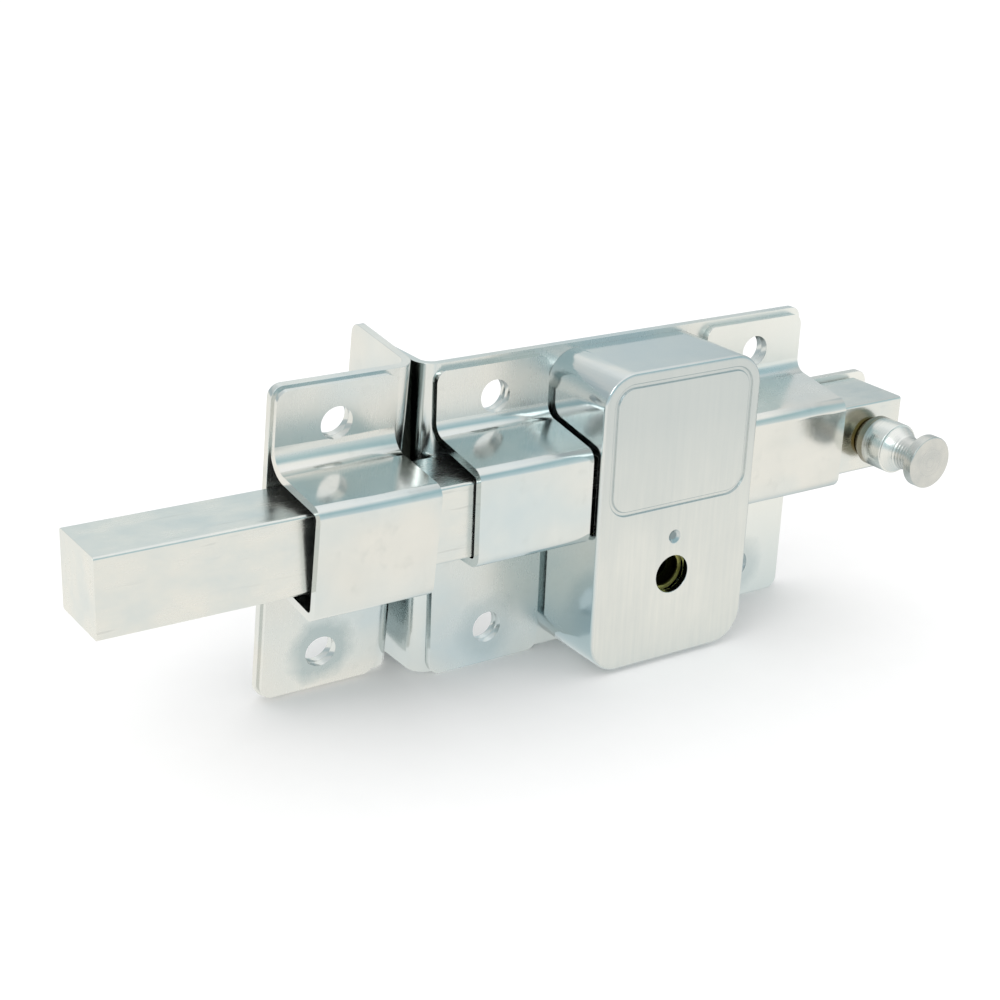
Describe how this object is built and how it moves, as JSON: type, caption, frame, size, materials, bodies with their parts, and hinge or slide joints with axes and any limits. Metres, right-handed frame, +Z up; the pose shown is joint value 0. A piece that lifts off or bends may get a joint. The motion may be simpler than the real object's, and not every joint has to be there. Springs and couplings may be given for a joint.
{
  "type": "rim lock",
  "caption": "Surface-mounted rim lock with a square sliding bar, a pull knob, a key cylinder under a cover, and a separate keeper for the jamb.",
  "frame": {"origin": "Centre of the lock's four mounting holes, on the face of the main backplate that lies against the door.", "axes": "+X along the bar towards the pull knob, +Y into the door, +Z up with the cover's keyhole below the bar."},
  "size_m": [0.2344, 0.0768, 0.0853],
  "materials": {
    "plated_sheet": "bright plated sheet steel, lightly polished",
    "brushed_cover": "satin, fine vertical brushing on the front",
    "drawn_bar": "drawn square bar, faint lengthwise scratches",
    "turned_steel": "lathe turned",
    "brass": "machined",
    "dark_steel": "plain steel",
    "spring_steel": "hard steel",
    "zinc_fastener": "zinc plated"
  },
  "bodies": {
    "lock_body": {"main_backplate": "plated_sheet", "middle_guide": "plated_sheet", "right_guide": "plated_sheet", "lock_cover": "brushed_cover", "cover_posts": "zinc_fastener", "cover_screws": "zinc_fastener", "bar_stop_pin": "dark_steel", "cylinder_body": "brass", "driver_pins": "spring_steel", "pin_springs": "spring_steel", "pin_cap": "brass", "dog_guide": "dark_steel", "guide_rivets": "zinc_fastener", "cylinder_pillars": "zinc_fastener", "cylinder_screws": "zinc_fastener"},
    "bar": {"square_bar": "drawn_bar", "pull_knob": "turned_steel", "knob_washer": "brass"},
    "plug": {"cylinder_plug": "brass", "key_pins": "brass", "drive_cam": "dark_steel", "cam_screw": "zinc_fastener"},
    "dog": {"locking_dog": "dark_steel"},
    "keeper": {"keeper_backplate": "plated_sheet", "keeper_strap": "plated_sheet"}
  },
  "joints": [
    {"name": "bar_throw", "type": "slide", "parent": "lock_body", "child": "bar", "axis": [1, 0, 0], "range_m": [0, 0.09]},
    {"name": "key_turn", "type": "hinge", "parent": "lock_body", "child": "plug", "pos_m": [-0.00015, -0.015, -0.016], "axis": [0, 1, 0], "range_deg": [0, 90]},
    {"name": "dog_lift", "type": "slide", "parent": "lock_body", "child": "dog", "axis": [0, 0, 1], "range_m": [0, 0.00566]},
    {"name": "keeper_slide", "type": "slide", "parent": "lock_body", "child": "keeper", "axis": [-1, 0, 0], "range_m": [0, 0.09]}
  ],
  "couplings": [
    {"joint": "dog_lift", "follows": "key_turn", "m_per_rad": 0.0036013}
  ]
}
